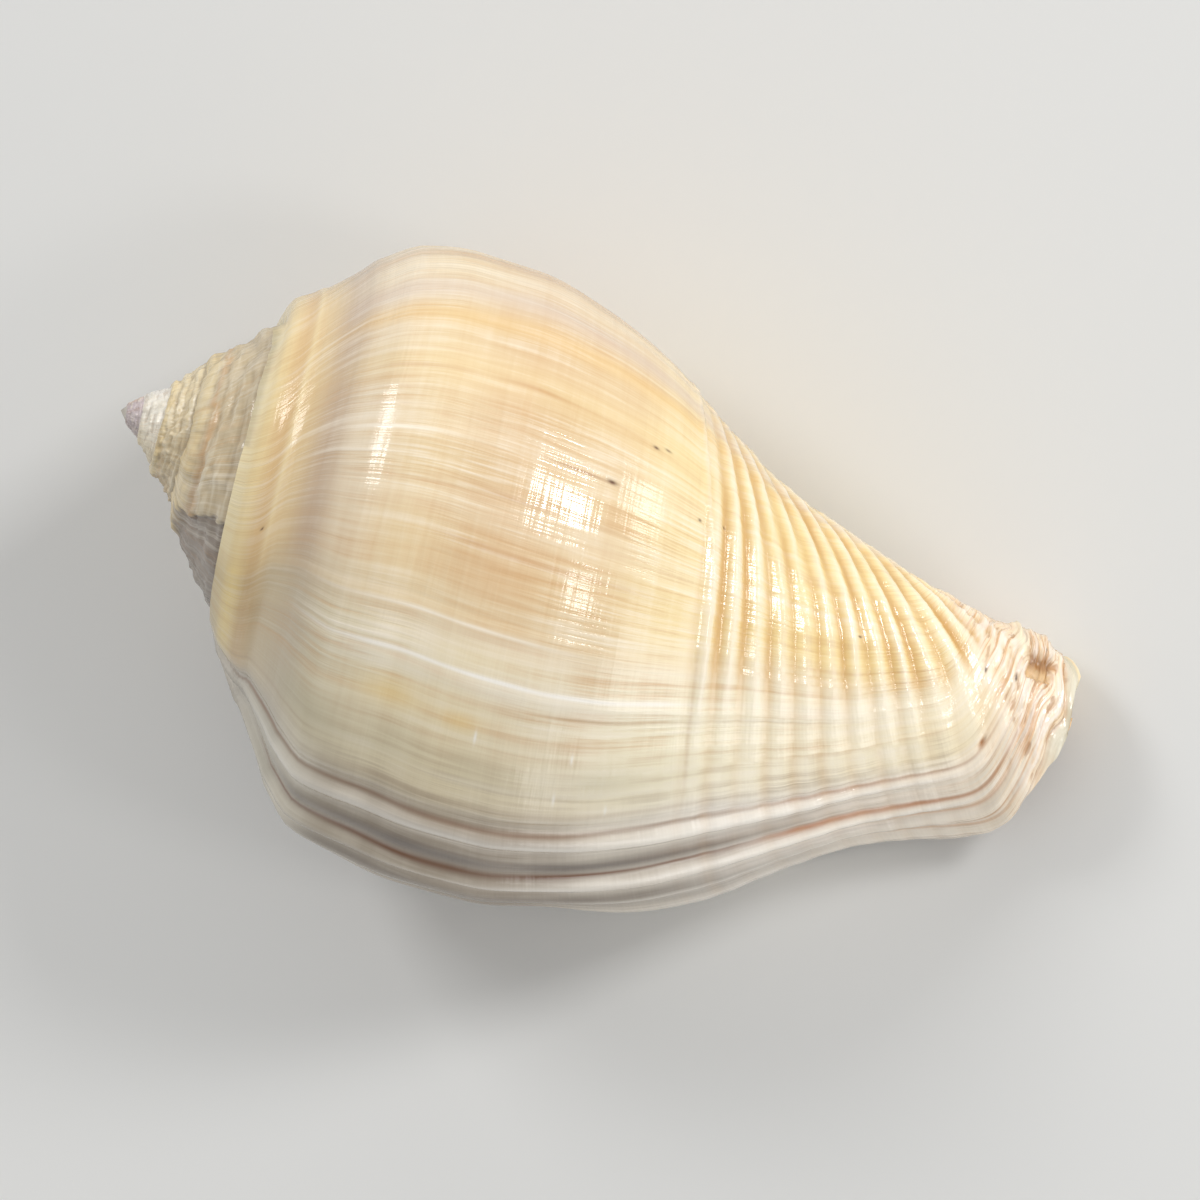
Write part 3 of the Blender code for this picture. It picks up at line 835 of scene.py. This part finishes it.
# Lines that follow the lip's older edges: growth, half width, strength, from mark, to mark, colour.
# They rise and fade over this many marks
LINE_RISE, LINE_FADE = 6.0, 18.0
EDGE_LINES = [
    (150.9, 0.5, 0.50, 16.0, 34.0, PALE), (141.0, 0.5, 0.50, 16.0, 30.0, PALE),
    (137.0, 0.6, 0.50, 16.0, 32.0, PALE), (131.7, 0.5, 0.45, 16.0, 40.0, PALE),
    (146.5, 0.6, 0.30, 18.0, 54.0, colour(200, 148, 96)), (126.2, 0.5, 0.45, 16.0, 34.0, PALE),
    (122.5, 0.5, 0.40, 30.0, 54.0, colour(190, 138, 92)),
    (112.0, 0.6, 0.40, 28.0, 54.0, colour(196, 146, 98)), (97.2, 0.40, 0.70, 19.0, 50.0, PALE),
    (95.5, 2.2, 0.20, 20.0, 70.0, PALE), (92.8, 0.35, 0.35, 42.0, 75.0, colour(196, 146, 92)),
    (90.4, 0.35, 0.60, 19.0, 38.0, PALE), (88.5, 0.45, 0.80, 18.0, 66.0, colour(250, 245, 236)),
    (87.0, 2.6, 0.32, 19.0, 82.0, colour(240, 233, 220)),
    (84.0, 0.40, 0.35, 40.0, 74.0, colour(172, 140, 104)),
    (70.0, 5.0, 0.40, 16.0, 62.0, colour(192, 184, 154)),
    (67.0, 0.8, 0.30, 30.0, 70.0, colour(240, 232, 214)),
    (61.5, 0.8, 0.30, 24.0, 80.0, colour(176, 152, 124)),
    (55.7, 0.75, 0.70, 12.0, 70.0, colour(140, 106, 80)),
    (55.7, 0.8, 0.60, 58.0, 88.0, colour(172, 126, 98)),
    # The dark grey-brown lines at growth 44.2, 30 and 19.5 are painted shade, in the hollow between the
    # ridges and on the lip's lower side
    (52.5, 1.8, 0.50, 16.0, 84.0, colour(246, 241, 232)), (44.2, 2.8, 0.90, 18.0, 70.0, PAINTED_SHADE),
    (45.5, 2.2, 0.30, 50.0, 84.0, colour(170, 146, 124)),
    (41.0, 0.75, 0.85, 16.0, 70.0, colour(120, 78, 48)),
    (41.0, 1.0, 0.80, 58.0, 92.0, colour(180, 112, 62)),
    (38.0, 1.3, 0.60, 36.0, 90.0, colour(248, 241, 230)),
    (36.0, 2.5, 0.45, 20.0, 44.0, colour(146, 132, 114)),
    (34.5, 0.8, 0.60, 38.0, 70.0, colour(132, 94, 66)), (34.5, 1.4, 0.60, 58.0, 92.0, colour(206, 146, 96)),
    (30.0, 2.2, 0.60, 20.0, 72.0, PAINTED_SHADE), (31.0, 1.2, 0.35, 54.0, 88.0, colour(246, 236, 224)),
    (19.5, 2.6, 0.50, 22.0, 72.0, PAINTED_SHADE), (4.0, 6.0, 0.60, 18.0, 44.0, colour(216, 192, 166)),
    (22.5, 1.5, 0.60, 54.0, 92.0, colour(208, 152, 102)),
    (14.0, 1.1, 0.60, 76.0, 104.0, colour(150, 102, 62)),
    (8.0, 0.8, 0.40, 70.0, 104.0, colour(214, 168, 104)),
    (25.5, 0.7, 0.50, 72.0, 98.0, colour(196, 138, 84)),
    (48.0, 0.6, 0.45, 74.0, 92.0, colour(200, 146, 92)),
]
# Broad bands of colour along the growth lines: growth, half width, strength, colour
BROAD_BANDS = [
    (97.0, 4.0, 0.22, colour(216, 176, 122)), (119.0, 4.0, 0.16, PALE), (134.0, 4.0, 0.10, PALE),
    (148.0, 5.0, 0.25, colour(240, 214, 150)), (162.0, 3.2, 0.40, colour(238, 196, 122)),
    (171.5, 4.5, 0.50, colour(218, 200, 188)), (182.0, 5.0, 0.40, colour(248, 234, 208)),
    (192.5, 3.5, 0.45, colour(210, 170, 126)),
]


# Finish, and the depth in millimetres of the fine lines that only bump shows
ROUGHNESS = 0.15
REFRACTION = 1.7
HAIR_DEPTH, FINEST_DEPTH, THREAD_DEPTH = 0.05, 0.012, 0.05


class Grain:
    """Bands, growth lines and spiral threads from broad to fine, each around 0."""

    def __init__(self, grown):
        tree = grown.tree
        self.bend = grown.noise(0.01, 0.06, 3.0, detail=1.0) * 12.0
        self.broad = grown.noise(0.07, 0.03, 1.0)
        self.streak = grown.noise(0.40, 0.05, 5.0, roughness=0.6)
        self.hair = grown.noise(1.1, 0.08, 9.0, roughness=0.6)
        self.finest = grown.noise(2.6, 0.20, 10.0, detail=1.0)
        self.threads = grown.noise(0.04, 1.3, 4.0, roughness=0.6)
        self.bands = grown.noise(0.006, 0.33, 2.0)
        patchy = tree.between(grown.noise(0.035, 0.07, 29.0), -0.10, 0.12, 0.4, 1.2)
        self.patchy = patchy * tree.between(grown.growth, 62.0, 100.0, 0.6, 1.0)


def whorl_colour(grown, grain):
    """Ground colour of the last whorl: its back, its lower side, and the part near the lip."""
    tree = grown.tree
    span = LAST_MARK - SUTURE_MARK
    place = (grown.mark - SUTURE_MARK) / span
    back, side, lip = (tree.ramp(place, [((mark - SUTURE_MARK) / span, tint) for mark, tint in stops])
                       for stops in (BACK_COLOURS, SIDE_COLOURS, LIP_COLOURS))
    older = grown.growth + grain.bend
    base = tree.mix(tree.between(older, 108.0, 92.0), back, side)
    return tree.mix(tree.between(older, 66.0, 54.0), base, lip)


def spire_colour(grown):
    """Pinkish tip, lavender first whorls, then grey-brown whorls with a yellow cord under the suture."""
    tree, turn = grown.tree, grown.turn
    base = tree.ramp((turn - APEX_ANGLE) / (START_ANGLE - APEX_ANGLE), SPIRE_COLOURS)
    wobbly, folds = grown.wobbly_mark(), grown.folds()
    across = (wobbly - SUTURE_MARK) / (FLANK_MARK - SUTURE_MARK)
    for amount, tint in (
            (tree.between(across, 0.26, 0.12) * tree.between(turn, -1000.0, -760.0) * 0.6, YELLOW_CORD),
            (tree.hump(across, 0.30, 0.05, 0.5) * tree.between(turn, -620.0, -520.0), OCHRE_LINE),
            (tree.between(wobbly, 18.9, 19.9) * tree.between(turn, -900.0, -700.0) * 0.4, SUTURE_SHADE),
            (tree.between(folds, 0.0, -0.15) * 0.35, FOLD_SHADE),
            (tree.between(folds, 0.02, 0.15) * 0.45, FOLD_LIGHT),
            (grown.ledge() * 0.85, LEDGE_GREY)):
        base = tree.mix(amount, base, tint)
    return base


def with_ramp_lines(grown, base):
    """Pale second line on the ramp, and the dark thread on the spire side of the first cord."""
    tree, growth, mark = grown.tree, grown.growth, grown.mark
    second = tree.hump(mark, 15.7, 0.28, 0.5) * grown.last_whorl * tree.between(growth, 90.0, 115.0)
    thread = tree.hump(mark, 54.5, 0.20, 0.35) * tree.between(growth, 60.0, 72.0)
    base = tree.mix(second, base, colour(246, 226, 176))
    return tree.mix(thread * tree.between(growth, 116.0, 96.0), base, colour(190, 154, 108))


def with_growth_lines(grown, grain, base):
    """Growth lines and spiral threads in pale and tan."""
    tree, growth, mark = grown.tree, grown.growth, grown.mark
    stripes = grain.broad * 0.9 + grain.streak * 1.6 + (grain.hair * 1.2 + grain.finest * 0.8) * grain.patchy
    woven = grain.threads * 0.40 * tree.between(growth, 72.0, 105.0, 0.35, 1.0) + grain.bands * 0.8
    canal = tree.between(mark, 66.0, 84.0) * tree.between(growth, 75.0, 45.0)
    contrast = tree.between(mark, 16.0, 24.0, 0.6, 1.0) * (canal * 1.2 + 1.0)
    tone = (stripes + woven * grown.last_whorl) * contrast
    shade = tree.mix(tree.between(growth, 82.0, 60.0) * (1.0 - canal), TAN, LIP_SHADE)
    return tree.mix(-tone, tree.mix(tone, base, PALE), shade)


def with_lip_lines(grown, grain, base):
    """Broad bands of the back, and the lines that follow older edges of the lip."""
    tree, growth, mark = grown.tree, grown.growth, grown.mark
    beyond_ramp = tree.between(mark, 16.0, 22.0) * grown.last_whorl
    bent = growth + grain.bend * 0.3
    for where, width, strength, tint in BROAD_BANDS:
        base = tree.mix(tree.hump(bent, where, width, strength) * beyond_ramp, base, tint)
    uneven = grown.noise(0.05, 0.14, 23.0, detail=1.0) * tree.between(growth, 78.0, 62.0, 3.0, 1.0) + 1.0
    uneven = uneven.math("MAXIMUM", 0.0)
    wavy = growth + grain.bend * 0.1 + grain.streak
    for where, width, strength, first, last, tint in EDGE_LINES:
        reach = tree.between(mark, first, first + LINE_RISE) * tree.between(mark, last, last - LINE_FADE)
        base = tree.mix(tree.hump(wavy, where, width, strength) * reach * uneven, base, tint)
    return base


def with_cords(grown, base):
    """Ochre grooves between the cords, and paler crests."""
    tree, cords, field = grown.tree, grown.cords(), grown.cord_field()
    base = tree.mix((1.0 - cords) ** 2.0 * field * 0.6, base, colour(212, 166, 98))
    base = tree.mix(cords ** 3.0 * field * 0.4, base, PALE)
    return tree.mix(grown.first_cord() * 0.25, base, PALE)


def with_canal_end(grown, base):
    """Worn scales, the smooth flange along the edge, the pale fold and the break beside it."""
    tree, growth, mark = grown.tree, grown.growth, grown.mark
    scaly, flakes, layers = grown.scaly, grown.flakes(), grown.layers()
    flange = (tree.between(growth, 14.0, 12.0) * tree.between(mark, 82.0, 86.0)
              * tree.between(mark, 108.0, 102.0))
    edge = tree.mix(tree.between(growth, 3.5, 1.5), colour(226, 222, 202), colour(252, 232, 188))
    broken = tree.mix(tree.between(grown.turn, 60.0, 70.0), colour(176, 126, 72), colour(226, 190, 138))
    for amount, tint in (
            (flange * 0.8, edge),
            (scaly * tree.between(flakes, -0.06, 0.10) * 0.6, colour(252, 242, 232)),
            (scaly * tree.between(layers, -0.01, -0.13) * 0.7, colour(216, 160, 102)),
            (scaly * tree.between(flakes, -0.08, -0.17) * 0.6, colour(176, 122, 76)),
            (grown.fold() * 0.8, colour(250, 236, 204)),
            (grown.notch() * 0.9, broken)):
        base = tree.mix(amount, base, tint)
    return base


def with_spots(grown, base):
    """Pits, holes and stains, a little smaller in colour than in relief."""
    for growth, mark, wide, high, _, strength, tint in spots():
        amount = grown.spot(growth, mark, wide * SPOT_SHARE, high * SPOT_SHARE, strength)
        base = grown.tree.mix(amount, base, tint)
    return base


def shell_material():
    material = bpy.data.materials.new("polished shell")
    material.use_nodes = True
    links = material.node_tree.links
    finish = material.node_tree.nodes["Principled BSDF"]
    tree = Tree(material.node_tree)

    def stored(name):
        return tree.node("ShaderNodeAttribute", {"attribute_name": name}, output=2)

    grown = Growth(tree, stored, SEED)
    grain = Grain(grown)
    base = tree.mix(grown.last_whorl, spire_colour(grown), whorl_colour(grown, grain))
    base = with_ramp_lines(grown, base)
    base = with_growth_lines(grown, grain, base)
    base = with_lip_lines(grown, grain, base)
    base = with_cords(grown, base)
    base = with_canal_end(grown, base)
    base = with_spots(grown, base)
    base = tree.mix(tree.between(grown.inside, 0.1, 0.9) * 0.85, base, CHAMBER_ORANGE)
    links.new(base.socket, finish.inputs["Base Color"])

    rough = ROUGHNESS + grain.hair * 0.2 + grown.scaly * 0.05 + (1.0 - grown.last_whorl) * 0.05
    links.new(rough.socket, finish.inputs["Roughness"])
    finish.inputs["Metallic"].default_value = 0.0
    finish.inputs["Coat Weight"].default_value = 0.0
    finish.inputs["IOR"].default_value = REFRACTION

    fine = ((grain.hair * HAIR_DEPTH + grain.finest * FINEST_DEPTH) * grain.patchy
            + grain.threads * THREAD_DEPTH * grown.last_whorl)
    bump = tree.node("ShaderNodeBump", None, {"Strength": 1.0, "Distance": 1.0, "Height": fine * MM})
    links.new(bump.socket, finish.inputs["Normal"])
    return material


def lifted(data, material):
    """The grown surface as a plain mesh, with its relief and its material."""
    grown = bpy.data.objects.new("grown shell", data)
    bpy.context.scene.collection.objects.link(grown)
    group, names = growth_relief()
    relief = grown.modifiers.new("growth relief", "NODES")
    relief.node_group = group
    relief[names["Material"]] = material
    for name, value in RELIEF_INPUTS:
        relief[names[name]] = value
    bpy.context.view_layer.update()
    finished = bpy.data.meshes.new_from_object(grown.evaluated_get(bpy.context.evaluated_depsgraph_get()))
    bpy.data.objects.remove(grown)
    return finished


def add_shell():
    """Adds the shell and gives its place: the turn and shift from its own axes to where it rests."""
    turn = Euler((math.radians(REST_TURN[0]), math.radians(REST_TURN[1]), 0.0)).to_matrix().to_4x4()
    place = Matrix.Translation(Vector(REST_PLACE) * MM) @ turn
    piece = bpy.data.objects.new("shell_surface", lifted(shell_surface(place), shell_material()))
    bpy.context.scene.collection.objects.link(piece)
    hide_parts("shell")
    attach(piece, "root")
    return place


# The photograph's view, in the shell's own axes: degrees, then millimetres
IMAGE_TILT = 18.0
FRAME_WIDTH = 96.0
AIM_RIGHT, AIM_UP = 37.84, -15.76
CAMERA_AWAY = 2400.0
SENSOR_WIDTH = 36.0
NEAR_CLIP = 10.0

# Lamps: parts right, up and towards the camera; metres away, metres wide, watts
LAMPS = {
    "key": (0.47, 0.38, 0.79, 1.0, 0.20, 3.6),
    "low lamp": (0.51, -0.12, 0.85, 1.0, 0.16, 0.8),
    "side lamp": (0.84, 0.36, 0.41, 1.0, 0.24, 1.0),
    "soft box": (-0.64, 0.58, 0.50, 1.2, 0.4, 3.8),
    "back": (0.0, 0.95, 0.4, 1.2, 0.9, 1.9),
    "under lamp": (0.30, -0.93, 0.15, 1.0, 0.5, 0.9),
    "low box": (0.9, -0.5, 0.45, 1.2, 0.7, 2.0),
}
ROOM_LIGHT = 0.42
FLOOR_REACH = 2.0
FLOOR_ROUGHNESS = 0.8


def image_axes(place):
    """World directions of the picture's right, its up and the way to the camera."""
    tilt = math.radians(IMAGE_TILT)
    turn = place.to_3x3()
    right = turn @ Vector((math.cos(tilt), math.sin(tilt), 0.0))
    up = turn @ Vector((-math.sin(tilt), math.cos(tilt), 0.0))
    return right, up, right.cross(up)


def add_camera(place):
    """Adds the camera and gives the point it looks at."""
    right, up, away = image_axes(place)
    aim = place.translation + (right * AIM_RIGHT + up * AIM_UP) * MM
    camera = bpy.data.cameras.new("camera")
    camera.sensor_width = SENSOR_WIDTH
    camera.lens = SENSOR_WIDTH * CAMERA_AWAY / FRAME_WIDTH
    camera.clip_start = NEAR_CLIP * MM
    made = bpy.data.objects.new("camera", camera)
    turn = Matrix((right, up, away)).transposed().to_4x4()
    made.matrix_world = Matrix.Translation(aim + away * CAMERA_AWAY * MM) @ turn
    bpy.context.scene.collection.objects.link(made)
    bpy.context.scene.camera = made
    return aim


def add_light(name, aim, direction, distance, size, power):
    lamp = bpy.data.lights.new(name, "AREA")
    lamp.shape = "SQUARE"
    lamp.size = size
    lamp.energy = power
    made = bpy.data.objects.new(name, lamp)
    made.location = aim + direction.normalized() * distance
    made.rotation_euler = direction.to_track_quat("Z", "Y").to_euler()
    bpy.context.scene.collection.objects.link(made)


def add_floor():
    grid = bmesh.new()
    bmesh.ops.create_grid(grid, x_segments=1, y_segments=1, size=FLOOR_REACH)
    data = bpy.data.meshes.new("floor")
    grid.to_mesh(data)
    grid.free()
    paint = bpy.data.materials.new("pale floor")
    paint.use_nodes = True
    inputs = paint.node_tree.nodes["Principled BSDF"].inputs
    inputs["Base Color"].default_value = colour(226, 226, 224)
    inputs["Roughness"].default_value = FLOOR_ROUGHNESS
    data.materials.append(paint)
    stage = bpy.data.objects.new("floor", data)
    bpy.context.scene.collection.objects.link(stage)


def add_studio(place, aim):
    right, up, away = image_axes(place)
    for name, (x, y, z, distance, size, power) in LAMPS.items():
        add_light(name, aim, right * x + up * y + away * z, distance, size, power)
    add_floor()
    world = bpy.data.worlds.new("studio")
    world.use_nodes = True
    background = world.node_tree.nodes["Background"].inputs
    background["Color"].default_value = (1.0, 1.0, 1.0, 1.0)
    background["Strength"].default_value = ROOM_LIGHT
    bpy.context.scene.world = world
    bpy.context.scene.view_settings.view_transform = "Standard"


shell_place = add_shell()
add_studio(shell_place, add_camera(shell_place))
